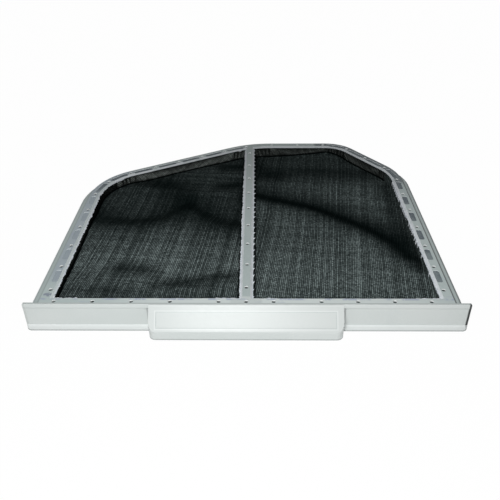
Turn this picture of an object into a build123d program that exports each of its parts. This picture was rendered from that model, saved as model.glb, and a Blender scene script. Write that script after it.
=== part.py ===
from build123d import *
import math
import os

# Tumble dryer lint filter: a grey moulded frame with a pull bar, and a woven screen moulded into it

# Pull bar: an upright plate with a rolled top edge and a foot lip
BAR_LENGTH = 310.0
BAR_HEIGHT = 21.4
BAR_WALL = 1.5
BAR_END_ROUND = 1.2
BEAD_REACH = 0.5
BEAD_HEIGHT = 2.8
BEAD_LEAN = 0.3
BEAD_ROUND = 0.5
BEAD_FADE = 1.4
LIP_REACH = 3.2
LIP_RISE = 3.0
LIP_WALL = 0.9
LIP_END_ROUND = 4.2

# Grip: a hollow hood in the middle of the bar, open below for the fingers
GRIP_LENGTH = 134.5
GRIP_REACH = 12.3
GRIP_NOSE = 6.9
GRIP_WALL = 2.0
GRIP_CORNER = 5.0
GRIP_TOP_ROUND = 1.0
GRIP_EDGE_ROUND = 1.4
GRIP_SHOULDER_ROUND = 2.7
PANEL_LENGTH = 124.0
PANEL_HEIGHT = 11.2
PANEL_CORNER = 1.2
PANEL_DEPTH = 0.5
PANEL_DROP = 10.7

# Frame plan: the rails' outer edge, measured from the bar's front edge
RAIL_SPAN = 287.6
FRAME_LENGTH = 271.3
LEFT_SIDE = 189.8
RIGHT_SIDE = 204.4
REAR_EDGE_FROM = -1.4
REAR_EDGE_TO = 96.0
LEFT_ROUND = 57.0
REAR_LEFT_ROUND = 85.0
REAR_RIGHT_ROUND = 32.0
RIGHT_ROUND = 50.0

# Frame section: a flat rail with a bevelled inner edge, a rib, and a skirt with a rim along the sides
RAIL_FLAT = 6.6
RAIL_WALL = 2.65
BEVEL = 2.2
RIB_WIDTH = 10.0
WINDOW_FRONT = 9.0
RIM_WIDTH = 5.3
RIM_DROP = 1.8
RIM_WALL = 2.0
RIM_ROUND = 0.8
RIM_OVERLAP = 2.0
RIM_LEFT_ROUND = 68.0
RIM_RIGHT_ROUND = 53.0
SKIRT_WALL = 2.0
SKIRT_DEPTH = 15.5

# Moulding marks: pin holes down to the screen, and shallow pads where the screen shows
PIN_HOLE = 3.2
PIN_SIDES = 10
PIN_INSET = 4.4
SIDE_PIN_START = 16.8
SIDE_PIN_PITCH = 28.5
LEFT_PINS = 6
RIGHT_PINS = 7
REAR_PIN_PITCH = 25.4
REAR_LEFT_PINS = 7
REAR_RIGHT_PINS = 6
RIB_PIN_START = 19.8
RIB_PIN_PITCH = 28.4
RIB_PINS = 9
FRONT_PIN_LINE = 3.6
FRONT_PIN_RUNS = ((-133.5, 26.9, 4), (-19.0, 19.0, 3), (52.0, 25.3, 4))
PAD_WIDTH = 4.4
PAD_DEPTH = 0.3
PAD_CORNER = 1.0
SIDE_PAD_LENGTH = 14.5
SIDE_PAD_LEAD = 12.0
REAR_PAD_LENGTH = 18.5
REAR_PAD_INSET = 3.5
REAR_BARE_GAPS = (7, 8, 9)

# Screen: one woven sheet, its hem inside the rails, formed into two shallow trays
SCREEN_WALL = 0.45
HEM_COVER = 1.4
HEM_MARGIN = 1.8
HEM_FRONT = 2.3
TRAY_FRONT_DEPTH = 5.5
TRAY_REAR_DEPTH = 11.0
# Slack folds in the tray floors: lines of crests and hollows from side to side, given by how far behind the bar
# they pass at each X, and how far they stand above or below the plain floor there
LEFT_KNOTS = (-150, -112, -76, -54, -30, 8)
LEFT_FOLDS = (
    ((32, 41, 42, 22, 28, 36), (0.4, 1.1, 1.2, 1.0, 1.2, 0.6)),
    ((48, 57, 58, 37, 44, 52), (-0.2, -0.5, -0.5, -0.4, -0.4, -0.2)),
    ((78, 84, 88, 92, 84, 78), (0.5, 0.8, 0.9, 0.9, 0.8, 0.4)),
    ((130, 114, 117, 145, 115, 104), (0.8, 1.8, 1.9, 2.2, 2.4, 1.2)),
    ((146, 130, 135, 163, 133, 119), (-0.3, -1.0, -1.2, -1.2, -1.1, -0.4)),
    ((176, 190, 182, 176, 174, 182), (0.4, 1.4, 1.8, 1.2, 0.9, 0.8)),
    ((192, 206, 199, 194, 192, 198), (0.0, 0.0, -0.2, -0.3, -0.3, -0.2)),
    ((208, 222, 214, 212, 213, 219), (0.0, 0.2, 0.4, 0.9, 1.1, 0.7)),
)
LEFT_REAR_RISE = (0.0, 0.0, 0.0, 0.0, 0.0, 0.0)
RIGHT_KNOTS = (-8, 22, 50, 80, 104, 150)
RIGHT_FOLDS = (
    ((44, 48, 46, 44, 36, 4), (0.2, 0.5, 0.8, 0.9, 0.9, 0.4)),
    ((132, 120, 108, 86, 60, 8), (0.2, 0.5, 0.6, 0.6, 0.5, 0.3)),
    ((169, 153, 141, 115, 93, 14), (1.6, 2.6, 3.2, 3.4, 2.8, 0.8)),
    ((187, 172, 161, 138, 118, 40), (-0.6, -1.3, -1.5, -1.5, -1.2, -0.3)),
    ((199, 197, 196, 194, 186, 160), (1.2, 1.4, 1.2, 1.0, 0.8, 0.4)),
    ((214, 216, 218, 216, 212, 206), (-0.4, -0.2, 0.0, 0.0, 0.0, 0.0)),
    ((246, 246, 244, 242, 240, 236), (0.0, 0.3, 0.8, 1.2, 0.5, 0.0)),
)
RIGHT_REAR_RISE = (-0.6, 0.0, 2.5, 7.0, 2.5, 0.0)

# How far a cutting solid runs past the face that it opens
CUT_SPARE = 1.0

# The bar's front edge sits at zero while building; the finished part is centred front to back
CENTRE_SHIFT = (GRIP_REACH - FRAME_LENGTH) / 2
PLATE_FRONT = BEAD_REACH
PLATE_BACK = BEAD_REACH + BAR_WALL
WINDOW_INSET = RAIL_FLAT + BEVEL
HEM_TOP = BAR_HEIGHT - HEM_COVER
HEM_FLOOR = HEM_TOP - SCREEN_WALL


def plan_corners(inset, front, widen):
    """Corners of the plan from front left to front right: all edges moved in, the sides widened."""
    half = RAIL_SPAN / 2
    corners = [
        Vector(-half, front),
        Vector(-half, LEFT_SIDE),
        Vector(REAR_EDGE_FROM, FRAME_LENGTH),
        Vector(REAR_EDGE_TO, FRAME_LENGTH),
        Vector(half, RIGHT_SIDE),
        Vector(half, front),
    ]
    moves = (inset - widen, inset, inset, inset, inset - widen)
    inward = []
    for start, end in zip(corners, corners[1:]):
        along = (end - start).normalized()
        inward.append(Vector(along.Y, -along.X))
    moved = [corners[0] + inward[0] * moves[0]]
    for i, corner in enumerate(corners[1:-1]):
        before, after = inward[i], inward[i + 1]
        a, b = moves[i], moves[i + 1]
        turn = before.dot(after)
        moved.append(corner + (before * (a - b * turn) + after * (b - a * turn)) / (1 - turn * turn))
    moved.append(corners[-1] + inward[-1] * moves[-1])
    return moved


def plan_path(inset, front, rim=False):
    """The open line along the left side, the rear and the right side, of the rails or of the rim."""
    left, right = (RIM_LEFT_ROUND, RIM_RIGHT_ROUND) if rim else (LEFT_ROUND, RIGHT_ROUND)
    rounds = (left, REAR_LEFT_ROUND, REAR_RIGHT_ROUND, right)
    corners = plan_corners(inset, front, RIM_WIDTH if rim else 0)
    return FilletPolyline(*corners, radius=[r - inset for r in rounds])


def plan_face(inset, front, rim=False):
    """The plan closed across the front."""
    path = plan_path(inset, front, rim)
    return make_face(path.edges() + [Edge.make_line(path @ 1, path @ 0)])


def slab(face, bottom, top):
    """A flat face turned into a slab between two heights."""
    return extrude(Pos(0, 0, bottom) * face, amount=top - bottom)


def window_face(side, inset):
    """One pane of the frame: side is -1 for the left pane and 1 for the right."""
    whole = plan_face(WINDOW_INSET + inset, WINDOW_FRONT + inset)
    edge = RIB_WIDTH / 2 + inset
    keep = Pos(side * (edge + RAIL_SPAN / 2), FRAME_LENGTH / 2) * Rectangle(RAIL_SPAN, 2 * FRAME_LENGTH)
    return whole & keep


def rails():
    """The flat rails and the rib, with both panes open and their top edges bevelled."""
    bottom = BAR_HEIGHT - RAIL_WALL
    plate = slab(plan_face(0, PLATE_FRONT), bottom, BAR_HEIGHT)
    for side in (-1, 1):
        plate -= slab(window_face(side, 0), bottom - CUT_SPARE, BAR_HEIGHT + CUT_SPARE)
    top = plate.faces().sort_by(Axis.Z)[-1]
    edges = [edge for wire in top.inner_wires() for edge in wire.edges()]
    return chamfer(edges, length=BEVEL)


def rim():
    """The skirt round the sides and the rear, with the ledge that joins it to the rails."""
    top = BAR_HEIGHT - RIM_DROP
    body = slab(plan_face(0, PLATE_FRONT, True), BAR_HEIGHT - SKIRT_DEPTH, top)
    upper = body.faces().sort_by(Axis.Z)[-1]
    front = upper.edges().sort_by(Axis.Y)[0]
    body = fillet([edge for edge in upper.edges() if edge != front], radius=RIM_ROUND)
    body -= slab(plan_face(SKIRT_WALL, 0, True), 0, top - RIM_WALL)
    return body - slab(plan_face(RIM_OVERLAP, 0), 0, BAR_HEIGHT)


def bar():
    """The plate with its bead and lip, ends rounded as seen from the front and from above."""
    points = [
        (PLATE_BACK, 0),
        (PLATE_BACK, BAR_HEIGHT),
        (BEAD_LEAN, BAR_HEIGHT),
        (0, BAR_HEIGHT - BEAD_HEIGHT),
        (PLATE_FRONT, BAR_HEIGHT - BEAD_HEIGHT - BEAD_FADE),
        (PLATE_FRONT, LIP_RISE),
        (PLATE_FRONT - LIP_REACH, LIP_WALL),
        (PLATE_FRONT - LIP_REACH, 0),
    ]
    rounds = (0, 0, BEAD_ROUND, BEAD_ROUND, BEAD_FADE, BEAD_ROUND, LIP_WALL / 2, 0)
    section = make_face(Plane.YZ * FilletPolyline(*points, radius=rounds, close=True))
    whole = extrude(section, amount=BAR_LENGTH / 2, both=True)
    half = BAR_LENGTH / 2
    front_view = FilletPolyline((-half, 0), (-half, BAR_HEIGHT), (half, BAR_HEIGHT), (half, 0),
                                radius=(0, BAR_END_ROUND, BAR_END_ROUND, 0), close=True)
    front = PLATE_FRONT - LIP_REACH
    top_view = FilletPolyline((-half, PLATE_BACK), (-half, front), (half, front), (half, PLATE_BACK),
                              radius=(0, LIP_END_ROUND, LIP_END_ROUND, 0), close=True)
    whole &= extrude(make_face(Plane.XZ * front_view), amount=BAR_LENGTH, both=True)
    return whole & slab(make_face(top_view), 0, BAR_HEIGHT)


def hood(points, length, corner, rounds):
    """A solid across the bar from a side-view outline, its two front corners rounded from above."""
    outline = FilletPolyline(*points, radius=rounds, close=True)
    solid = extrude(make_face(Plane.YZ * outline), amount=length / 2, both=True)
    box = solid.bounding_box()
    half = length / 2
    top_view = FilletPolyline((-half, box.max.Y), (-half, box.min.Y), (half, box.min.Y), (half, box.max.Y),
                              radius=(0, corner, corner, 0), close=True)
    return solid & slab(make_face(top_view), box.min.Z, box.max.Z)


def grip():
    """The grip's outer hood, with a shallow panel in its sloping face and filled corners at the plate."""
    points = [
        (PLATE_BACK, 0),
        (PLATE_BACK, BAR_HEIGHT),
        (0, BAR_HEIGHT),
        (-GRIP_REACH, GRIP_NOSE),
        (-GRIP_REACH, 0),
    ]
    solid = hood(points, GRIP_LENGTH, GRIP_CORNER, (0, 0, GRIP_TOP_ROUND, GRIP_EDGE_ROUND, 0))
    slope = Vector(0, -GRIP_REACH, GRIP_NOSE - BAR_HEIGHT)
    middle = Vector(0, 0, BAR_HEIGHT) + slope.normalized() * PANEL_DROP
    face = Plane(origin=middle, x_dir=(1, 0, 0), z_dir=Vector(1, 0, 0).cross(slope) * -1)
    panel = extrude(face * RectangleRounded(PANEL_LENGTH, PANEL_HEIGHT, PANEL_CORNER), amount=-PANEL_DEPTH)
    shoulders = []
    for side in (-1, 1):
        corner = Pos(side * GRIP_LENGTH / 2, BAR_HEIGHT - BEAD_HEIGHT - BEAD_FADE)
        block = corner * Rectangle(2 * GRIP_SHOULDER_ROUND, 2 * GRIP_SHOULDER_ROUND)
        away = corner * Pos(side * GRIP_SHOULDER_ROUND, -GRIP_SHOULDER_ROUND) * Circle(GRIP_SHOULDER_ROUND)
        quarter = corner * Pos(side * GRIP_SHOULDER_ROUND / 2, -GRIP_SHOULDER_ROUND / 2)
        fill = (block & quarter * Rectangle(GRIP_SHOULDER_ROUND, GRIP_SHOULDER_ROUND)) - away
        shoulders.append(extrude(Plane.XZ * fill, amount=-PLATE_FRONT))
    return solid - panel + shoulders


def finger_pocket():
    """The hollow under the grip: the hood moved in by its wall, in front of the plate and open below."""
    run = Vector(-GRIP_REACH, GRIP_NOSE - BAR_HEIGHT).normalized()
    inner = Vector(0, BAR_HEIGHT) + Vector(-run.Y, run.X) * GRIP_WALL
    front = GRIP_WALL - GRIP_REACH
    at_plate = inner.Y + run.Y / run.X * (PLATE_FRONT - inner.X)
    at_front = inner.Y + run.Y / run.X * (front - inner.X)
    points = [(PLATE_FRONT, -CUT_SPARE), (PLATE_FRONT, at_plate), (front, at_front), (front, -CUT_SPARE)]
    rounds = (0, GRIP_EDGE_ROUND, GRIP_EDGE_ROUND, 0)
    return hood(points, GRIP_LENGTH - 2 * GRIP_WALL, GRIP_CORNER - GRIP_WALL, rounds)


def rail_spots():
    """Distances along the rails' pin line: pin holes, side pads and rear pads."""
    length = plan_path(PIN_INSET, 0).length
    left = [SIDE_PIN_START + SIDE_PIN_PITCH * i for i in range(LEFT_PINS)]
    right = [length - SIDE_PIN_START - SIDE_PIN_PITCH * i for i in reversed(range(RIGHT_PINS))]
    rear = [left[-1] + REAR_PIN_PITCH * i for i in range(REAR_LEFT_PINS + 1)]
    step = (right[0] - rear[-1]) / (REAR_RIGHT_PINS + 1)
    rear += [rear[-1] + step * (i + 1) for i in range(REAR_RIGHT_PINS + 1)]
    gaps = [(a + b) / 2 for a, b in zip(rear, rear[1:])]
    side_pads = [s - SIDE_PAD_LEAD for s in left[1:]] + [s + SIDE_PAD_LEAD for s in right[:-1]]
    rear_pads = [s for i, s in enumerate(gaps) if i not in REAR_BARE_GAPS]
    return left + rear[1:-1] + right, side_pads, rear_pads


def mould_marks():
    """Everything the mould's pins and pads leave in the rails' top face."""
    path = plan_path(PIN_INSET, 0)
    pins, side_pads, rear_pads = rail_spots()
    places = [path @ (s / path.length) for s in pins]
    places += [Vector(0, RIB_PIN_START + RIB_PIN_PITCH * i) for i in range(RIB_PINS)]
    for start, pitch, count in FRONT_PIN_RUNS:
        places += [Vector(start + pitch * i, FRONT_PIN_LINE) for i in range(count)]
    pin = slab(RegularPolygon(PIN_HOLE / 2, PIN_SIDES), HEM_TOP, BAR_HEIGHT + CUT_SPARE)
    marks = [Pos(p.X, p.Y) * pin for p in places]
    rows = ((side_pads, SIDE_PAD_LENGTH, PIN_INSET), (rear_pads, REAR_PAD_LENGTH, REAR_PAD_INSET))
    for spots, length, inset in rows:
        outline = chamfer(Rectangle(length, PAD_WIDTH).vertices(), length=PAD_CORNER)
        pad = Pos(0, inset - PIN_INSET) * slab(outline, BAR_HEIGHT - PAD_DEPTH, BAR_HEIGHT + CUT_SPARE)
        for s in spots:
            place = path @ (s / path.length)
            along = path % (s / path.length)
            turn = math.degrees(math.atan2(along.Y, along.X))
            marks.append(Pos(place.X, place.Y) * Rot(0, 0, turn) * pad)
    return marks


def floor_height(y):
    """Height of a tray's plain floor, deeper towards the rear."""
    share = (y - WINDOW_FRONT) / (FRAME_LENGTH - WINDOW_INSET - WINDOW_FRONT)
    return BAR_HEIGHT - TRAY_FRONT_DEPTH - (TRAY_REAR_DEPTH - TRAY_FRONT_DEPTH) * share


def below_floor(side):
    """Everything under one tray's folded floor, ruled from fold line to fold line."""
    knots, folds, rear = (LEFT_KNOTS, LEFT_FOLDS, LEFT_REAR_RISE)
    if side > 0:
        knots, folds, rear = (RIGHT_KNOTS, RIGHT_FOLDS, RIGHT_REAR_RISE)
    level = [0.0] * len(knots)
    lines = [([0.0] * len(knots), level), *folds, ([FRAME_LENGTH] * len(knots), rear)]
    sections = []
    for distances, rises in lines:
        top = [(x, y, floor_height(y) + rise) for x, y, rise in zip(knots, distances, rises)]
        foot = [(x, y, -BAR_HEIGHT) for x, y, z in (top[-1], top[0])]
        sections.append(Wire.make_polygon(top + foot))
    return Solid.make_loft(sections, ruled=True)


def tray(side):
    """One pane of the screen: walls down from the hem and a folded floor."""
    below = below_floor(side)
    outer = slab(window_face(side, 0), 0, HEM_TOP) - Pos(0, 0, -SCREEN_WALL) * below
    inner = slab(window_face(side, SCREEN_WALL), 0, HEM_TOP + CUT_SPARE) - below
    return outer - inner


def screen():
    """The hem in the rails and under the rib, with the two trays hanging from it."""
    hem = slab(plan_face(HEM_MARGIN, HEM_FRONT), HEM_FLOOR, HEM_TOP)
    for side in (-1, 1):
        hem -= slab(window_face(side, SCREEN_WALL), HEM_FLOOR - CUT_SPARE, HEM_TOP + CUT_SPARE)
    return hem + tray(-1) + tray(1)


def frame(insert):
    """The whole moulding, with the room that the screen's hem takes up."""
    body = rails() + rim() + bar() + grip()
    body -= finger_pocket()
    body -= mould_marks()
    return body - insert


os.makedirs("parts", exist_ok=True)
mesh_screen = screen()
for name, shape in (("frame", frame(mesh_screen)), ("mesh_screen", mesh_screen)):
    export_step(Pos(0, CENTRE_SHIFT, 0) * shape, f"parts/{name}.step")
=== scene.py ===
import math

import bmesh
import bpy
from mathutils import Matrix, Vector, kdtree, noise


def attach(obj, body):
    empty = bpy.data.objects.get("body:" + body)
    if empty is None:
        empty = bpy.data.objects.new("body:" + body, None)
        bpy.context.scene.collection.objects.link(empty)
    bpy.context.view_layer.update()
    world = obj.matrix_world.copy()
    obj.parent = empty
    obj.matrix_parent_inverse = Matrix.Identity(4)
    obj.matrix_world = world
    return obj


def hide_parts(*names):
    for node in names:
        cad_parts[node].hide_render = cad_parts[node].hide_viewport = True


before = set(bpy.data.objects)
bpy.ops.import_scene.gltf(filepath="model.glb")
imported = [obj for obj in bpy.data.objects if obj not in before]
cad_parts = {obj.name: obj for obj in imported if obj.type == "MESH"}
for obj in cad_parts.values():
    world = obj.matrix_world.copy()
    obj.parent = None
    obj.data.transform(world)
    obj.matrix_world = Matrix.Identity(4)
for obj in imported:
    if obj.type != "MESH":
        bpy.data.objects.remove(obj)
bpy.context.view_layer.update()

# Sizes are in millimetres of the part frame: X along the pull bar, Y from the grip to the rear, Z up.
MM = 0.001
BAR_FRONT = -129.5              # Y of the bar's front top edge
BAR_BACK = -127.5               # Y of the bar's rear face
BAR_END = 155.0                 # half length of the bar
RAIL_TOP = 21.4                 # Z of the rails and the rib
RAIL_SIDE = 143.8               # half width over the rails
PAD_FLOOR = 21.1                # Z of the shallow pads in the rails
HEM_TOP = 20.0                  # Z of the screen's hem, which the rails' inner bevels run down to
LEDGE_TOP = 19.6                # Z of the ledge along the sides
LIP_TOP = 3.8                   # Z below which the bar's foot lip comes forward
GRIP_RUN = (12.3, 14.5)         # how far the grip's sloping face comes forward and drops
PANEL_DROP = 10.7               # middle of the grip's shallow panel, down the slope from the bar's top
PANEL_HALF = (62.0, 5.6)        # half length and half height of the panel
SHOULDER_X = (67.4, 68.8)       # where the grip's ends meet the bar
SHOULDER_Z = (3.5, 18.0)
SCREEN_WALL = 0.45              # thickness of the screen
PANE_MIDDLE = 68.0              # X of the middle of each pane
BEVEL_NORMAL_Z = (0.4, 0.95)    # how far up the rails' inner bevels face
REAR_FADE = (-20.0, 130.0)      # Y over which the tops and the film are painted darker to the rear, as painted shade


def behind(*distances):
    """Y at distances behind the bar's front edge."""
    return [BAR_FRONT + d for d in distances]


# Shader maths
class Wire:
    """One socket of a finish. Arithmetic on it adds Math nodes to the finish."""

    def __init__(self, finish, socket):
        self.finish = finish
        self.socket = socket

    def __add__(self, other):
        return self.finish.math("ADD", self, other)

    def __radd__(self, other):
        return self.finish.math("ADD", other, self)

    def __sub__(self, other):
        return self.finish.math("SUBTRACT", self, other)

    def __rsub__(self, other):
        return self.finish.math("SUBTRACT", other, self)

    def __mul__(self, other):
        return self.finish.math("MULTIPLY", self, other)

    def __rmul__(self, other):
        return self.finish.math("MULTIPLY", other, self)

    def __truediv__(self, other):
        return self.finish.math("DIVIDE", self, other)

    def __mod__(self, other):
        return self.finish.math("FLOORED_MODULO", self, other)

    def __floordiv__(self, other):
        return self.finish.math("FLOOR", self / other)

    def __abs__(self):
        return self.finish.math("ABSOLUTE", self)


class Finish:
    """A node tree, such as a material's, and the nodes that are added to it."""

    def __init__(self, tree):
        self.tree = tree
        tree.nodes.clear()

    def node(self, kind, settings=None, sockets=None, out=0):
        made = self.tree.nodes.new("ShaderNode" + kind)
        for name, value in (settings or {}).items():
            setattr(made, name, value)
        for name, value in (sockets or {}).items():
            self.plug(made.inputs[name], value)
        return Wire(self, made.outputs[out])

    def plug(self, entry, value):
        if isinstance(value, Wire):
            self.tree.links.new(value.socket, entry)
        elif entry.type == "RGBA" and len(value) == 3:
            entry.default_value = (*value, 1.0)
        else:
            entry.default_value = value

    def math(self, operation, first, second=None):
        sockets = {0: first} if second is None else {0: first, 1: second}
        return self.node("Math", {"operation": operation}, sockets)

    def larger(self, first, second):
        return self.math("MAXIMUM", first, second)

    def smaller(self, first, second):
        return self.math("MINIMUM", first, second)

    def ramp_up(self, value, low, high):
        """0 below low, 1 above high, with a soft start and end."""
        sockets = {"Value": value, "From Min": low, "From Max": high}
        return self.node("MapRange", {"interpolation_type": "SMOOTHSTEP"}, sockets)

    def between(self, value, low, high, soft):
        return self.ramp_up(value, low - soft, low) * (1 - self.ramp_up(value, high, high + soft))

    def mix(self, amount, first, second):
        return self.node("Mix", {"data_type": "RGBA"}, {0: amount, 6: first, 7: second}, out=2)

    def tint(self, colour, amount):
        """The colour times a value."""
        return self.node("VectorMath", {"operation": "SCALE"}, {0: colour, "Scale": amount})

    def cloud(self, place, scale, detail=2.0, roughness=0.5):
        sockets = {"Vector": place, "Scale": scale, "Detail": detail, "Roughness": roughness}
        return self.node("TexNoise", None, sockets)

    def chance(self, seed):
        """A fixed random value from 0 to 1 for each whole number."""
        return self.node("TexWhiteNoise", {"noise_dimensions": "1D"}, {"W": seed})

    def attribute(self, name):
        return self.node("Attribute", {"attribute_name": name}, out="Fac")

    def place_in_mm(self):
        spot = self.node("TexCoord", out="Object")
        return self.node("VectorMath", {"operation": "SCALE"}, {0: spot, "Scale": 1.0 / MM})

    def split(self, vector):
        outs = self.node("SeparateXYZ", None, {0: vector}).socket.node.outputs
        return [Wire(self, outs[i]) for i in range(3)]

    def join(self, x, y, z):
        return self.node("CombineXYZ", None, {0: x, 1: y, 2: z})

    def facing(self):
        return self.split(self.node("NewGeometry", out="Normal"))

    def seen_rays(self):
        """1 for rays from the camera, from a reflection or through a clear surface."""
        rays = self.node("LightPath").socket.node.outputs
        names = ("Is Camera Ray", "Is Glossy Ray", "Is Transmission Ray")
        camera, glossy, clear = (Wire(self, rays[name]) for name in names)
        return self.larger(camera, self.larger(glossy, clear))

    def bump(self, height, distance_mm, strength):
        sockets = {"Height": height, "Distance": distance_mm * MM, "Strength": strength}
        return self.node("Bump", None, sockets)

    def principled(self, sockets):
        self.surface(self.node("BsdfPrincipled", None, sockets))

    def surface(self, shader):
        end = self.tree.nodes.new("ShaderNodeOutputMaterial")
        self.tree.links.new(shader.socket, end.inputs["Surface"])


def new_finish(name):
    material = bpy.data.materials.new(name)
    material.use_nodes = True
    return material, Finish(material.node_tree)


# Plastic
BAR_GREY = (0.565, 0.600, 0.590)
BAR_DULL = (0.530, 0.570, 0.560)
STRIP_PALE = (0.690, 0.745, 0.735)
RAIL_GREY = (0.523, 0.600, 0.592)
RAIL_DULL = (0.468, 0.548, 0.542)
SCREEN_SHOWING = (0.056, 0.077, 0.096)
SCREEN_THREADS = (0.150, 0.180, 0.200)
BEVEL_PALE = (0.76, 0.80, 0.83)
SMEAR_BLUE = (0.36, 0.41, 0.52)
# Partly the ledges' own tone and partly painted shade; also painted shade on the grip's panel edges and the
# bar's top
LEDGE_TONE_AND_SHADE = (0.40, 0.46, 0.45)
# Painted shade: dark grey for shadows and shaded edges
PAINTED_SHADE_GREY = (0.12, 0.13, 0.13)
# Painted highlight: pale for lit pin walls, the panel's outer edges and the foot lip
PAINTED_HIGHLIGHT = (0.86, 0.89, 0.89)
FILM_BLUE = (0.55, 0.60, 0.67)
FILM_WHITE = (0.82, 0.855, 0.89)

STRIP_MIDDLE = (-50.0, 90.0)    # X over which the rail in front of the panes is palest
STRIP_FADE = 70.0
PAD_WEAVE = 1.7                 # spacing of the threads that show through the pads
LEFT_BEVEL = -126.0             # X beyond which a bevel that faces right belongs to the left rail
SCUFF_SPOT = (-139.0, 11.0)     # X, and distance behind the bar's front edge
SCUFF_SIZE = (4.5, 2.6)
SLANT_START = (66.0, 70.0)      # X from which the slanted rear rail is slate all over
SLANT_FRONT = (176.0, 186.0)    # and how far behind the bar's front edge


class Zones:
    """Wires that tell the moulding's zones apart."""

    def __init__(self, f):
        self.place = f.place_in_mm()
        self.x, self.y, self.z = f.split(self.place)
        self.nx, self.ny, self.nz = f.facing()
        self.broad = f.cloud(self.place, 0.018, 3.0)
        self.fine = f.cloud(self.place, 0.45, 3.0, 0.6)
        self.behind_bar = f.ramp_up(self.y, BAR_BACK - 0.4, BAR_BACK + 0.4)
        self.right_half = f.ramp_up(self.x, -20.0, 20.0)
        self.flat_top = f.ramp_up(self.nz, 0.95, 0.98)
        self.pads = self.flat_top * f.between(self.z, PAD_FLOOR - 0.06, PAD_FLOOR + 0.06, 0.03)
        self.rails = self.flat_top * f.ramp_up(self.z, RAIL_TOP - 0.06, RAIL_TOP - 0.03) * self.behind_bar
        on_front = 1 - f.ramp_up(self.y, BAR_FRONT - 1.0, BAR_FRONT - 0.5)
        self.grip_slope = f.between(self.nz, 0.45, 0.85, 0.05) * on_front


def plain_grey(f, at):
    """Cloudy grey of the bar and the rails, palest on the rail in front of the panes."""
    patches = f.ramp_up(at.broad + (at.fine - 0.5) * 0.35, 0.35, 0.68)
    bar = f.mix(patches, BAR_DULL, BAR_GREY)
    colour = f.mix(at.behind_bar, bar, f.mix(patches, RAIL_DULL, RAIL_GREY))
    strip = at.behind_bar * (1 - f.ramp_up(at.y, *behind(8.5, 10.0)))
    return f.mix(strip * 0.8 * f.between(at.x, *STRIP_MIDDLE, STRIP_FADE), colour, STRIP_PALE)


def rail_marks(f, at, colour):
    """The screen showing through the pads and the slanted rail, and bluish smears."""
    across = (at.x * 0.8 + at.y * 0.6) % PAD_WEAVE / PAD_WEAVE
    along = (at.y * 0.8 - at.x * 0.6) % PAD_WEAVE / PAD_WEAVE
    threads = f.larger(f.between(across, 0.3, 0.7, 0.2), f.between(along, 0.35, 0.65, 0.2)) * 0.55
    showing = f.mix(threads, SCREEN_SHOWING, SCREEN_THREADS)
    patchy = f.ramp_up(f.cloud(at.place, 0.045, 2.0) + (at.fine - 0.5) * 0.3, 0.34, 0.58)
    left_side = f.ramp_up(-1.0 * at.x, 100.0, 130.0) * f.ramp_up(-1.0 * at.y, -45.0, -25.0)
    colour = f.mix(at.pads * (0.96 - 0.6 * left_side) * (0.75 + 0.25 * patchy), colour, showing)
    colour = f.mix(at.pads * left_side * 0.35, colour, SMEAR_BLUE)

    streaky = f.cloud(f.join(at.x * 0.35, at.y, at.z), 0.16, 3.0, 0.6)
    smears = at.rails * f.ramp_up(streaky, 0.56, 0.72) * f.ramp_up(f.cloud(at.place, 0.03), 0.42, 0.6)
    colour = f.mix(smears * 0.6, colour, SMEAR_BLUE)
    left_flat = at.rails * f.ramp_up(-1.0 * at.x, 95.0, 125.0) * f.ramp_up(at.y, *behind(18.0, 40.0))
    colour = f.mix(left_flat * 0.45, colour, f.tint(SMEAR_BLUE, 0.85))
    slant = at.rails * f.ramp_up(at.x, *SLANT_START) * f.ramp_up(at.y, *behind(*SLANT_FRONT))
    colour = f.mix(slant * 0.85, colour, showing)
    rib = at.rails * (1 - f.ramp_up(abs(at.x), 10.0, 12.0))
    return f.tint(colour, 1 - 0.12 * rib)


def bevel_film(f, at, colour):
    """Milky film on the bevels round the panes, less of it on the left rail's."""
    bevel = f.between(at.nz, *BEVEL_NORMAL_Z, 0.02) * f.between(at.z, HEM_TOP - 1.0, RAIL_TOP - 0.02, 0.02)
    bevel = bevel * f.ramp_up(at.y, BAR_BACK + 1.0, BAR_BACK + 2.0)
    milky = f.ramp_up(f.cloud(at.place, 0.12, 3.0), 0.25, 0.55)
    colour = f.mix(bevel * (0.45 + 0.55 * milky), colour, BEVEL_PALE)
    left_rail = bevel * f.ramp_up(at.nx, 0.3, 0.5) * f.ramp_up(LEFT_BEVEL - at.x, 0.0, 3.0)
    return f.mix(left_rail * 0.6, colour, RAIL_GREY)


def front_smears(f, at, colour):
    """A broken streak along the front of the panes and a scuff at the left corner."""
    near_edge = f.between(at.y, *behind(5.2, 7.0), 0.3)
    broken = f.ramp_up(f.cloud(f.join(at.x, 0.0, 0.0), 0.05, 2.0), 0.47, 0.53)
    broken = broken * f.ramp_up(at.fine, 0.3, 0.5)
    colour = f.mix(at.rails * near_edge * broken * 0.75, colour, SMEAR_BLUE)
    scuff_x = (at.x - SCUFF_SPOT[0]) / SCUFF_SIZE[0]
    scuff_y = (at.y - BAR_FRONT - SCUFF_SPOT[1]) / SCUFF_SIZE[1]
    scuff = 1 - f.ramp_up(scuff_x * scuff_x + scuff_y * scuff_y, 0.5, 1.0)
    scuff = at.rails * scuff * f.ramp_up(at.fine, 0.42, 0.52)
    return f.mix(scuff * 0.85, colour, f.tint(SMEAR_BLUE, 0.6))


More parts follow.
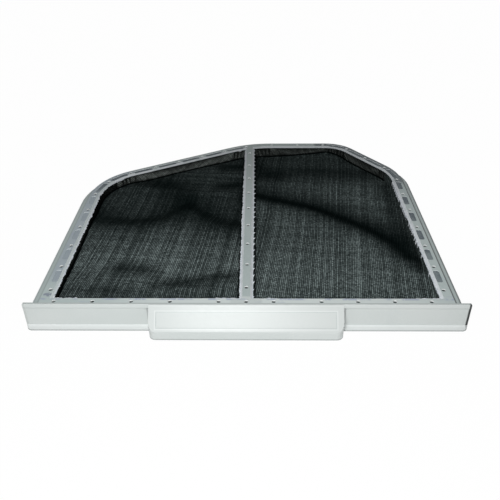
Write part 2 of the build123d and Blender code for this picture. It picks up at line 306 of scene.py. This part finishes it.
def ledge_tone_and_painted_light(f, at, colour):
    """The ledges' darker tone, partly their own and partly painted shade; painted shadow beside the rails
    and on the rims' outer rounding; painted shade at the bar's ends; and the pin holes' walls painted lit
    above and dark below.
    """
    side = abs(at.x)
    # The ledges' darker tone: partly their own colour, partly painted shade.
    ledge = at.flat_top * f.between(at.z, LEDGE_TOP - 0.05, LEDGE_TOP + 0.05, 0.03)
    colour = f.mix(ledge * 0.5, colour, LEDGE_TONE_AND_SHADE)
    # Painted shadow of the rails on the ledges, and painted shade on the rims' outer rounding, stronger on
    # the right.
    corner = ledge * (1 - f.ramp_up(side, RAIL_SIDE + 1.6, RAIL_SIDE + 2.2))
    rounding = f.between(at.z, LEDGE_TOP - 0.9, LEDGE_TOP + 0.1, 0.05)
    rounding = rounding * f.ramp_up(side, RAIL_SIDE + 3.5, RAIL_SIDE + 4.1)
    lines = f.larger(corner, rounding * 0.9) * at.behind_bar * (0.25 + 0.6 * at.right_half)
    colour = f.mix(lines, colour, PAINTED_SHADE_GREY)
    # Painted shade on the bar's ends, much darker at the right end.
    bar_end = f.ramp_up(side, BAR_END - 2.0, BAR_END - 1.4) * (0.15 + 0.82 * at.right_half)
    colour = f.mix(bar_end, colour, f.tint(PAINTED_SHADE_GREY, 1 - 0.85 * at.right_half))

    # Pin holes' walls: painted highlight on the upper part, painted shade below.
    upright = f.ramp_up(0.3 - abs(at.nz), 0.0, 0.1)
    pin_wall = upright * f.ramp_up(-1.0 * at.ny, 0.1, 0.2) * f.ramp_up(at.z, HEM_TOP, HEM_TOP + 0.05)
    lit = f.ramp_up(at.z, RAIL_TOP - 1.05, RAIL_TOP - 0.9)
    return f.mix(pin_wall * at.behind_bar, colour, f.mix(lit, f.tint(PAINTED_SHADE_GREY, 0.35), PAINTED_HIGHLIGHT))


def grip_lines(f, at, colour):
    """The panel's edges painted as shade and highlight, and painted shade where the grip's ends meet the
    bar.
    """
    run, drop = GRIP_RUN
    down_slope = ((BAR_FRONT - at.y) * run + (RAIL_TOP - at.z) * drop) / math.hypot(run, drop)
    past_panel = f.larger(abs(at.x) - PANEL_HALF[0], abs(down_slope - PANEL_DROP) - PANEL_HALF[1])
    # Painted shade just inside the panel's edge, painted highlight just outside it.
    colour = f.mix(at.grip_slope * f.between(past_panel, -0.25, 0.15, 0.25) * 0.35, colour, LEDGE_TONE_AND_SHADE)
    colour = f.mix(at.grip_slope * f.between(past_panel, 0.5, 0.9, 0.3) * 0.3, colour, PAINTED_HIGHLIGHT)
    # Painted shade where the grip's ends meet the bar.
    shoulder = f.between(abs(at.x), *SHOULDER_X, 0.5) * f.between(at.z, *SHOULDER_Z, 0.5)
    shoulder = shoulder * f.between(at.y, BAR_FRONT - 3.0, BAR_BACK - 1.0, 0.3)
    return f.mix(shoulder * 0.4, colour, PAINTED_SHADE_GREY)


def bar_lines(f, at, colour):
    """Painted highlight on the foot lip's upward faces, painted shade along the bar's lower edge and along
    its top.
    """
    on_bar = 1 - at.behind_bar
    # Painted highlight on the lip's upward faces.
    lip = f.ramp_up(LIP_TOP - at.z, 0.0, 0.6) * f.ramp_up(at.nz, 0.15, 0.4) * on_bar
    colour = f.mix(lip * 0.4, colour, PAINTED_HIGHLIGHT)
    # Painted shade along the bar's lower edge.
    low_edge = (1 - f.ramp_up(at.z, 0.7, 1.3)) * on_bar
    colour = f.mix(low_edge * 0.42, colour, PAINTED_SHADE_GREY)
    # Painted shade along the rear of the bar's top.
    top_line = f.ramp_up(at.y, BAR_BACK - 1.5, BAR_BACK - 1.1) * on_bar
    top_line = top_line * f.ramp_up(at.z, RAIL_TOP - 1.0, RAIL_TOP - 0.6)
    return f.mix(top_line * 0.5, colour, LEDGE_TONE_AND_SHADE)


def moulded_plastic():
    """Satin grey moulding, with the marks of the mould and of use, and painted light and shade."""
    material, f = new_finish("moulded_plastic")
    at = Zones(f)
    colour = plain_grey(f, at)
    for marks in (rail_marks, bevel_film, front_smears, ledge_tone_and_painted_light, grip_lines, bar_lines):
        colour = marks(f, at, colour)
    # Painted shade: tops darker to the rear, and the grip's sloping face a little darker all over.
    rear_painted_shade = f.ramp_up(at.y, *REAR_FADE) * f.ramp_up(at.nz, 0.2, 0.5)
    colour = f.tint(colour, 1 - 0.38 * rear_painted_shade - 0.07 * at.grip_slope)

    grain = f.cloud(at.place, 2.6, 2.0, 0.6)
    waves = f.cloud(at.place, 0.12, 2.0)
    normal = f.bump(grain * 0.5 + waves * 1.6 + at.fine * 0.4, 0.03, 0.5)
    rough = 0.25 + 0.13 * at.behind_bar + 0.12 * at.fine + 0.08 * at.broad + at.pads * 0.1
    f.principled({"Base Color": colour, "Roughness": rough, "Normal": normal, "Specular IOR Level": 0.3})
    return material


def ragged_film():
    """The thin pale edge of plastic that crept over the screen's hem in the mould."""
    material, f = new_finish("ragged_film")
    place = f.place_in_mm()
    y = f.split(place)[1]
    patchy = f.ramp_up(f.cloud(place, 0.5, 3.0, 0.6), 0.35, 0.65)
    # Painted shade: the film is darker towards the rear.
    colour = f.tint(f.mix(patchy, FILM_BLUE, FILM_WHITE), 1 - 0.35 * f.ramp_up(y, *REAR_FADE))
    normal = f.bump(f.cloud(place, 1.5, 3.0), 0.05, 0.5)
    f.principled({"Base Color": colour, "Roughness": 0.42 + 0.15 * patchy, "Normal": normal})
    return material


# Woven screen
THREAD_PITCH = 1.35
WEAVE_SKEW = 0.12               # the screen is cut a little out of square
THREAD_DARK = (0.0022, 0.0060, 0.0058)
THREAD_PALE = (0.282, 0.345, 0.342)
THREAD_BROWN = (0.070, 0.078, 0.074)
# Painted shade: black for the weave's openings and the creases at the walls' feet
SHADE_BLACK = (0.0010, 0.0024, 0.0024)


def woven_screen():
    """Plain weave of dark threads, greyed by lint where it stands proud, with painted shade that makes it
    nearly black in its creases and openings, on slopes that face the rear, behind its folds and on the left
    wall.
    """
    material, f = new_finish("woven_screen")
    place = f.place_in_mm()
    x, y, z = f.split(place)
    nx, ny, nz = f.facing()
    lint_and_shade, crease_shade_gap = f.attribute("lint_and_shade"), f.attribute("crease_shade_gap")

    sway = f.cloud(place, 0.03, 2.0) * 1.2
    u = (x - y * WEAVE_SKEW + z * 0.6 + sway) / THREAD_PITCH
    v = (y + x * WEAVE_SKEW - z * 0.9 + sway) / THREAD_PITCH
    warp, weft = u // 1.0, v // 1.0
    over = (warp + weft) % 2.0
    round_u = 1 - abs((u - warp) * 2.0 - 1.0)
    round_v = 1 - abs((v - weft) * 2.0 - 1.0)
    warp_high = f.ramp_up(round_u, 0.22, 0.75) * (0.6 + 0.4 * over)
    weft_high = f.ramp_up(round_v, 0.30, 0.85) * (1.0 - 0.55 * over) * 0.75
    height = f.larger(warp_high, weft_high)

    # Cross threads show most at the rear of the left pane.
    across = f.ramp_up(y, 30.0, 55.0) * f.ramp_up(-1.0 * x, 0.0, 20.0)
    across = across * (1 - f.ramp_up(-1.0 * x, 60.0, 85.0))
    bundles = f.chance((warp + 0.5) / 4.0 // 1.0)
    warp_shade = 0.45 + (1.0 - 0.7 * across) * (0.75 * f.chance(warp) + 0.3 * bundles)
    weft_shade = 0.78 + (0.35 + 1.0 * across) * f.chance(weft + 500.0)
    slub = 0.55 + 0.9 * f.cloud(f.join(x * 2.0, y * 0.18, z), 0.5, 3.0, 0.6)
    knot = 0.5 + 1.0 * f.chance(warp * 0.317 + weft * 7.913)
    shade = warp_shade * weft_shade * slub * knot

    dusty = f.mix(f.smaller(lint_and_shade * shade, 1.0), THREAD_DARK, THREAD_PALE)
    right_wall = f.ramp_up(-1.0 * nx, 0.9, 0.96) * f.ramp_up(x, 40.0, 60.0)
    upright = f.ramp_up(0.55 - abs(nz), 0.0, 0.3) * (1 - right_wall)
    thread = f.mix(upright, dusty, f.tint(THREAD_BROWN, lint_and_shade * (0.5 + shade)))
    # Painted shade: nearly black in the creases where the walls meet the floors.
    thread = f.mix(1 - f.ramp_up(crease_shade_gap, 0.5, 1.7), thread, SHADE_BLACK)
    # Painted shade in the weave's openings.
    colour = f.mix(f.ramp_up(height, 0.10, 0.62), SHADE_BLACK, thread)
    normal = f.bump(height, 0.25, 0.6)
    rough = 0.7 + 0.2 * (1 - height)
    f.principled({"Base Color": colour, "Roughness": rough, "Normal": normal, "Specular IOR Level": 0.0})
    return material


# Pieces
def new_piece(name, shape, finish):
    mesh = bpy.data.meshes.new(name)
    shape.to_mesh(mesh)
    shape.free()
    piece = bpy.data.objects.new(name, mesh)
    bpy.context.scene.collection.objects.link(piece)
    mesh.materials.append(finish)
    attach(piece, "root")
    return piece


def merged_copy(node):
    """A bmesh of a CAD node's mesh with its loose triangles joined."""
    shape = bmesh.new()
    shape.from_mesh(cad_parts[node].data)
    bmesh.ops.remove_doubles(shape, verts=shape.verts, dist=0.002 * MM)
    return shape


def new_verts(grown):
    return [g for g in grown["geom"] if isinstance(g, bmesh.types.BMVert)]


# Small wrinkles on top of the screen's slack folds: points, rise and half width.
# A point is X and the distance behind the bar's front edge.
WRINKLES = (
    (((-138, 110), (-112, 112), (-76, 124), (-54, 144), (-30, 117), (-5, 105)), 0.4, 8.0),
    (((-112, 190), (-76, 182), (-54, 176)), 0.6, 6.0),
    (((-60, 25), (-30, 23), (-5, 31)), 0.5, 5.0),
    (((-40, 214), (-6, 219)), 0.6, 6.0),
    (((-36, 174), (-6, 183)), 0.6, 6.0),
    (((5, 164), (22, 155), (50, 143), (80, 125), (104, 96), (130, 83)), 0.5, 8.0),
    (((90, 172), (126, 160)), 0.5, 5.0),
    (((84, 150), (128, 134)), 0.5, 5.0),
    (((20, 72), (62, 66)), 0.4, 8.0),
)
# How much lint lies in the weave of each pane, by distance behind the bar's front edge
LEFT_LINT = (
    (0, 0.34), (22, 0.34), (37, 0.50), (55, 0.61), (74, 0.56), (92, 0.43), (110, 0.33), (124, 0.22),
    (150, 0.20), (180, 0.20), (200, 0.19), (270, 0.17),
)
RIGHT_LINT = (
    (0, 0.50), (40, 0.60), (70, 0.57), (100, 0.46), (150, 0.45), (185, 0.42), (205, 0.26), (225, 0.18),
    (270, 0.16),
)
# How much lies on the trays' walls
WALL_LINT = 0.75
REAR_LEFT_LINT = 1.5
# Painted shade: the left wall is given little lint, so it reads nearly black.
LEFT_WALL_SHADED_LINT = 0.1
RIGHT_WALL_LINT = 0.75          # times the lint of the pane beside it
# Streaks of painted shade along the folds and beside the walls, where the weave is painted darker: points,
# half width, how much darker
FOLD_SHADE_STREAKS = (
    (((-136, 134), (-120, 125), (-102, 119), (-89, 120), (-70, 132), (-56, 157)), 18.0, 0.65),
    (((-85, 197), (-71, 187), (-56, 157), (-43, 139), (-25, 119), (-9, 114)), 20.0, 0.7),
    (((-97, 52), (-78, 50)), 9.0, 0.7),
    (((-66, 28), (-46, 33), (-26, 40), (-9, 43)), 6.0, 0.6),
    (((-112, 24), (-90, 24)), 7.0, 0.35),
    (((-26, 191), (-6, 197)), 7.0, 0.7),
    (((-26, 232), (-6, 234)), 7.0, 0.7),
    (((7, 171), (28, 160), (46, 152), (64, 144), (79, 128), (91, 118), (103, 108), (113, 95), (119, 86),
      (126, 68)), 15.0, 0.9),
    (((6, 240), (24, 215)), 14.0, 0.6),
    (((7, 182), (46, 164), (79, 142), (103, 120), (128, 92)), 22.0, 0.6),
    (((8, 216), (60, 224), (112, 214)), 13.0, 0.5),
    (((129, 50), (129, 190)), 8.0, 0.55),
)
CLOTH_STEP = 3.0                # the cloth is cut into squares of this size
CUT_REACH = (150.0, 145.0)      # how far from the middle the cuts start, in X and Y
CUT_SHIFT = 0.37                # keeps the cuts off the screen's own corners
SMOOTH_TURNS = 30
FLOOR_FACING = 0.6              # a floor's normal has at least this much Z
SLIVER = 0.3                    # faces up to this many square millimetres don't count as walls
CREASE_ANGLE = math.radians(40)


def level(place, stops):
    """Value between the stops (place, value) on each side."""
    for (low, first), (high, last) in zip(stops, stops[1:]):
        if place < high:
            return first + (last - first) * max(0.0, (place - low) / (high - low))
    return stops[-1][1]


def line_gap(spot, line):
    """Distance from a point to a run of points."""
    best = 1e9
    for first, last in zip(line, line[1:]):
        a, run = Vector(first), Vector(last) - Vector(first)
        part = max(0.0, min(1.0, (spot - a).dot(run) / run.length_squared))
        best = min(best, (spot - a - run * part).length)
    return best


def nearness(spot, line, width):
    """1 on a run of points, fading to 0 over a few widths."""
    return math.exp(-((line_gap(spot, line) / width) ** 2))


def pane_spot(vert):
    """X, and distance behind the bar's front edge."""
    return Vector((vert.co.x / MM, vert.co.y / MM - BAR_FRONT))


def wrinkle_rise(spot):
    rise = 0.30 * noise.noise((spot.x / 16.0, spot.y / 26.0, 3.1))
    rise += 0.14 * noise.noise((spot.x / 7.0, spot.y / 9.0, 8.7))
    return rise + sum(height * nearness(spot, line, width) for line, height, width in WRINKLES)


def outside_fold_shade(spot):
    """1 outside the streaks of painted shade, lower where the weave is painted darker in them."""
    return math.prod(1.0 - strength * nearness(spot, line, width) for line, width, strength in FOLD_SHADE_STREAKS)


def upper_layer(shape):
    """Leaves only the side of the screen that is seen from above: hem, inner walls and floors."""
    spare = []
    for face in shape.faces:
        spot = face.calc_center_median()
        middle = Vector((math.copysign(PANE_MIDDLE * MM, spot.x), 0.0, spot.z))
        inward = face.normal.dot(middle - spot) > 0 and spot.z < HEM_TOP * MM
        if face.normal.z < 0.3 and not (abs(face.normal.z) < 0.3 and inward):
            spare.append(face)
    bmesh.ops.delete(shape, geom=spare, context="FACES")


def cut_into_squares(shape):
    """Cuts the faces along X and Y."""
    for half, across in zip(CUT_REACH, (Vector((1.0, 0.0, 0.0)), Vector((0.0, 1.0, 0.0)))):
        for turn in range(int(2 * half / CLOTH_STEP)):
            whole = shape.verts[:] + shape.edges[:] + shape.faces[:]
            spot = across * (turn * CLOTH_STEP - half + CUT_SHIFT) * MM
            bmesh.ops.bisect_plane(shape, geom=whole, dist=0.01 * MM, plane_co=spot, plane_no=across)
    bmesh.ops.triangulate(shape, faces=[f for f in shape.faces if len(f.verts) > 4])


def floor_and_foot(shape):
    """The vertices of the trays' floors, and those where the floors meet the walls."""
    below_hem = [v for v in shape.verts if v.co.z < (HEM_TOP - 1.0) * MM]
    flat = [v for v in below_hem if any(f.normal.z > FLOOR_FACING for f in v.link_faces)]
    least = SLIVER * MM * MM
    foot = [v for v in flat if any(f.calc_area() > least and f.normal.z < 0.4 for f in v.link_faces)]
    at_foot = set(foot)
    return [v for v in flat if v not in at_foot], foot


def on_right_wall(vert):
    return vert.co.x > 60 * MM and any(f.normal.x < -0.93 for f in vert.link_faces)


# Lint on a vertex, with painted shade on rear-facing slopes, in the fold streaks and on the left wall.
def lint_and_shade_on(vert):
    spot = pane_spot(vert)
    if vert.normal.z > FLOOR_FACING:
        lie = level(spot.y, LEFT_LINT if spot.x < 0 else RIGHT_LINT)
        # Painted shade: slopes that face the rear get less lint, so they read darker.
        return lie * max(0.1, 1.0 - 1.2 * max(0.0, vert.normal.y)) * outside_fold_shade(spot)
    if vert.normal.x > 0.8:
        return LEFT_WALL_SHADED_LINT
    if on_right_wall(vert):
        return RIGHT_WALL_LINT * level(spot.y, RIGHT_LINT)
    return REAR_LEFT_LINT if spot.x < 0 else WALL_LINT


def nearest_of(verts):
    tree = kdtree.KDTree(len(verts))
    for index, vert in enumerate(verts):
        tree.insert(vert.co, index)
    tree.balance()
    return tree


def smooth_with_creases(shape):
    for face in shape.faces:
        face.smooth = True
    for edge in shape.edges:
        edge.smooth = not (edge.is_manifold and edge.calc_face_angle(0.0) > CREASE_ANGLE)


def thicken(shape, wall):
    """Adds the sheet's under side, closed to the upper one along its edge."""
    shape.normal_update()
    grown = bmesh.ops.extrude_face_region(shape, geom=shape.faces[:], use_keep_orig=True)
    for vert in new_verts(grown):
        vert.co -= vert.normal * wall
    bmesh.ops.recalc_face_normals(shape, faces=shape.faces)


def make_screen():
    shape = merged_copy("mesh_screen")
    lint_and_shade = shape.verts.layers.float.new("lint_and_shade")
    crease_shade_gap = shape.verts.layers.float.new("crease_shade_gap")
    upper_layer(shape)
    cut_into_squares(shape)
    floor, foot = floor_and_foot(shape)
    all_axes = {"use_axis_x": True, "use_axis_y": True, "use_axis_z": True}
    for turn in range(SMOOTH_TURNS):
        bmesh.ops.smooth_vert(shape, verts=floor, factor=0.5, **all_axes)
    for vert in floor + foot:
        vert.co.z += wrinkle_rise(pane_spot(vert)) * MM
    shape.normal_update()
    creases = nearest_of([v for v in foot if not on_right_wall(v)])
    for vert in shape.verts:
        vert[lint_and_shade] = lint_and_shade_on(vert)
        vert[crease_shade_gap] = creases.find(vert.co)[2] / MM
    smooth_with_creases(shape)
    thicken(shape, SCREEN_WALL * MM)
    return new_piece("mesh_cloth", shape, woven_screen())


FILM_STEP = 0.8                     # longest edge of the film
FILM_CLEAR = SCREEN_WALL + 0.05     # the film starts on the inner face of the screen's wall
FILM_LIFT = 0.02                    # keeps the film off the faces it lies on
# How far the film reaches in over the pane and down the screen's wall: least and most of each
FILM_RIGHT = (0.2, 1.5, 1.0, 3.6)
FILM_LEFT = (0.0, 1.7, 0.1, 0.3)
FILM_RIB_LEFT = (0.0, 1.3, 0.1, 0.3)
FILM_RIB_RIGHT = (0.0, 1.5, 0.1, 0.3)
FILM_REAR = (0.0, 0.1, 0.1, 0.5)
FILM_REAR_RIGHT = (0.1, 0.3, 0.7, 1.2)
RIB_SIDE = 12.0                     # X within which the film belongs to the rib
RIB_TEETH = 8.5                     # spacing of the film's teeth on the rib
STRAIGHT_SIDE_END = 56.0            # Y at which the right pane's straight side ends


def film_ends(spot, lean):
    if abs(spot.x) < RIB_SIDE:
        return FILM_RIB_LEFT if lean.x < 0 else FILM_RIB_RIGHT
    if lean.x < -0.6 and spot.y < STRAIGHT_SIDE_END:
        return FILM_RIGHT
    if lean.x < -0.3:
        return FILM_REAR_RIGHT
    return FILM_LEFT if lean.x > 0.6 else FILM_REAR


def film_reach(spot, lean):
    """How far the film reaches inward and down at a place; lean points into the pane."""
    ends = film_ends(spot, lean)
    ragged = 0.45 + 0.5 * noise.noise((spot.x / 5.0, spot.y / 5.0, 1.0))
    ragged += 0.6 * noise.noise((spot.x / 1.6, spot.y / 1.6, 6.0))
    if ends is FILM_RIB_RIGHT:
        ragged = ((spot.y / RIB_TEETH) % 1.0 - 0.7) / 0.3 + 0.15 * ragged
    ragged = max(0.0, min(1.0, ragged))
    inward_least, inward_most, down_least, down_most = ends
    inward = inward_least + (inward_most - inward_least) * ragged
    down = down_least + (down_most - down_least) * ragged
    return inward, down


def bevel_feet(shape):
    """The edges at the foot of the bevels round the panes, and at their ends the way into the pane."""
    feet, inward = [], {}
    for edge in shape.edges:
        if any(abs(v.co.z / MM - HEM_TOP) > 0.03 for v in edge.verts):
            continue
        bevels = [f for f in edge.link_faces if BEVEL_NORMAL_Z[0] < f.normal.z < BEVEL_NORMAL_Z[1]]
        if bevels:
            feet.append(edge)
            normal = bevels[0].normal
            for vert in edge.verts:
                inward.setdefault(vert, Vector())
                inward[vert] += Vector((normal.x, normal.y, 0)).normalized()
    return feet, inward


def make_film():
    """Ragged ribbon of plastic that turns over the hem and creeps down the walls, all round both panes."""
    shape = merged_copy("frame")
    feet, inward = bevel_feet(shape)
    ribbon = bmesh.new()
    way = ribbon.verts.layers.float_vector.new("way")
    kept = {}
    for vert, lean in inward.items():
        kept[vert] = ribbon.verts.new(vert.co)
        kept[vert][way] = lean.normalized()
    for edge in feet:
        ribbon.edges.new([kept[v] for v in edge.verts])
    shape.free()
    long_edges = ribbon.edges[:]
    while long_edges:
        bmesh.ops.subdivide_edges(ribbon, edges=long_edges, cuts=1)
        long_edges = [e for e in ribbon.edges if e.calc_length() > FILM_STEP * MM]
    grown = bmesh.ops.extrude_edge_only(ribbon, edges=ribbon.edges[:])
    for vert in new_verts(grown):
        lean = Vector(vert[way]).normalized()
        vert.co += lean * (FILM_CLEAR + film_reach(vert.co / MM, lean)[0]) * MM
    rim = [g for g in grown["geom"] if isinstance(g, bmesh.types.BMEdge)]
    for vert in new_verts(bmesh.ops.extrude_edge_only(ribbon, edges=rim)):
        vert.co.z -= film_reach(vert.co / MM, Vector(vert[way]))[1] * MM
    bmesh.ops.recalc_face_normals(ribbon, faces=ribbon.faces)
    bmesh.ops.translate(ribbon, verts=ribbon.verts, vec=(0, 0, FILM_LIFT * MM))
    return new_piece("flash_film", ribbon, ragged_film())


# Stage, in metres
CAMERA_SPOT = (0.007248, -0.450871, 0.280979)
CAMERA_PITCH, CAMERA_YAW, CAMERA_ROLL = (math.radians(a) for a in (33.7116, -0.7664, -0.3695))
PHOTO_FOCAL = 600.0 / 500.0     # focal length over image width
KEY_SPOT = (-0.035, -0.47, 0.29)
KEY_TARGET = (0.0, -0.08, 0.01)
KEY_SIZE = 0.16
KEY_POWER = 1.74
FILL = 0.25                     # light from all round
FLOOR_SIZE = 6.0
FLOOR_GLOW = 0.985              # share of the floor's look that is plain white; the rest keeps the shadow


def make_camera():
    a, b, c = CAMERA_PITCH, CAMERA_YAW, CAMERA_ROLL
    ahead = Vector((math.sin(b) * math.cos(a), math.cos(b) * math.cos(a), -math.sin(a)))
    right = Vector((math.cos(b), -math.sin(b), 0))
    up = right.cross(ahead)
    right, up = right * math.cos(c) + up * math.sin(c), up * math.cos(c) - right * math.sin(c)
    data = bpy.data.cameras.new("photo_view")
    data.sensor_width = 36.0
    data.lens = data.sensor_width * PHOTO_FOCAL
    camera = bpy.data.objects.new("photo_view", data)
    turn = Matrix((right, up, -ahead)).transposed().to_4x4()
    camera.matrix_world = Matrix.Translation(CAMERA_SPOT) @ turn
    bpy.context.scene.collection.objects.link(camera)
    bpy.context.scene.camera = camera


def make_lamp():
    data = bpy.data.lights.new("key", "AREA")
    data.shape = "DISK"
    data.size = KEY_SIZE
    data.energy = KEY_POWER
    lamp = bpy.data.objects.new("key", data)
    lamp.location = KEY_SPOT
    lamp.rotation_mode = "QUATERNION"
    lamp.rotation_quaternion = (Vector(KEY_TARGET) - Vector(KEY_SPOT)).to_track_quat("-Z", "Y")
    bpy.context.scene.collection.objects.link(lamp)


def studio_white():
    """Pale floor that reads white and keeps a soft shadow."""
    material, f = new_finish("studio_white")
    speckle = f.cloud(f.place_in_mm(), 0.02, 2.0)
    matt = f.node("BsdfDiffuse", None, {"Color": f.mix(speckle, (0.80, 0.80, 0.80), (0.84, 0.84, 0.84))})
    glow = f.node("Emission", None, {"Color": (1.0, 1.0, 1.0), "Strength": 1.0})
    f.surface(f.node("MixShader", None, {0: f.seen_rays() * FLOOR_GLOW, 1: matt, 2: glow}))
    return material


def make_room():
    floor = bmesh.new()
    bmesh.ops.create_grid(floor, x_segments=2, y_segments=2, size=FLOOR_SIZE)
    mesh = bpy.data.meshes.new("floor")
    floor.to_mesh(mesh)
    floor.free()
    piece = bpy.data.objects.new("floor", mesh)
    mesh.materials.append(studio_white())
    bpy.context.scene.collection.objects.link(piece)
    world = bpy.data.worlds.new("room")
    bpy.context.scene.world = world
    world.use_nodes = True
    f = Finish(world.node_tree)
    strength = FILL + (1.0 - FILL) * f.seen_rays()
    back = f.node("Background", None, {"Color": (1.0, 1.0, 1.0), "Strength": strength})
    end = world.node_tree.nodes.new("ShaderNodeOutputWorld")
    world.node_tree.links.new(back.socket, end.inputs["Surface"])


make_camera()
make_room()
make_lamp()
bpy.context.scene.view_settings.view_transform = "Standard"

frame_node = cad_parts["frame"]
frame_node.data.materials.clear()
frame_node.data.materials.append(moulded_plastic())

cloth = make_screen()
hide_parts("mesh_screen")
make_film()
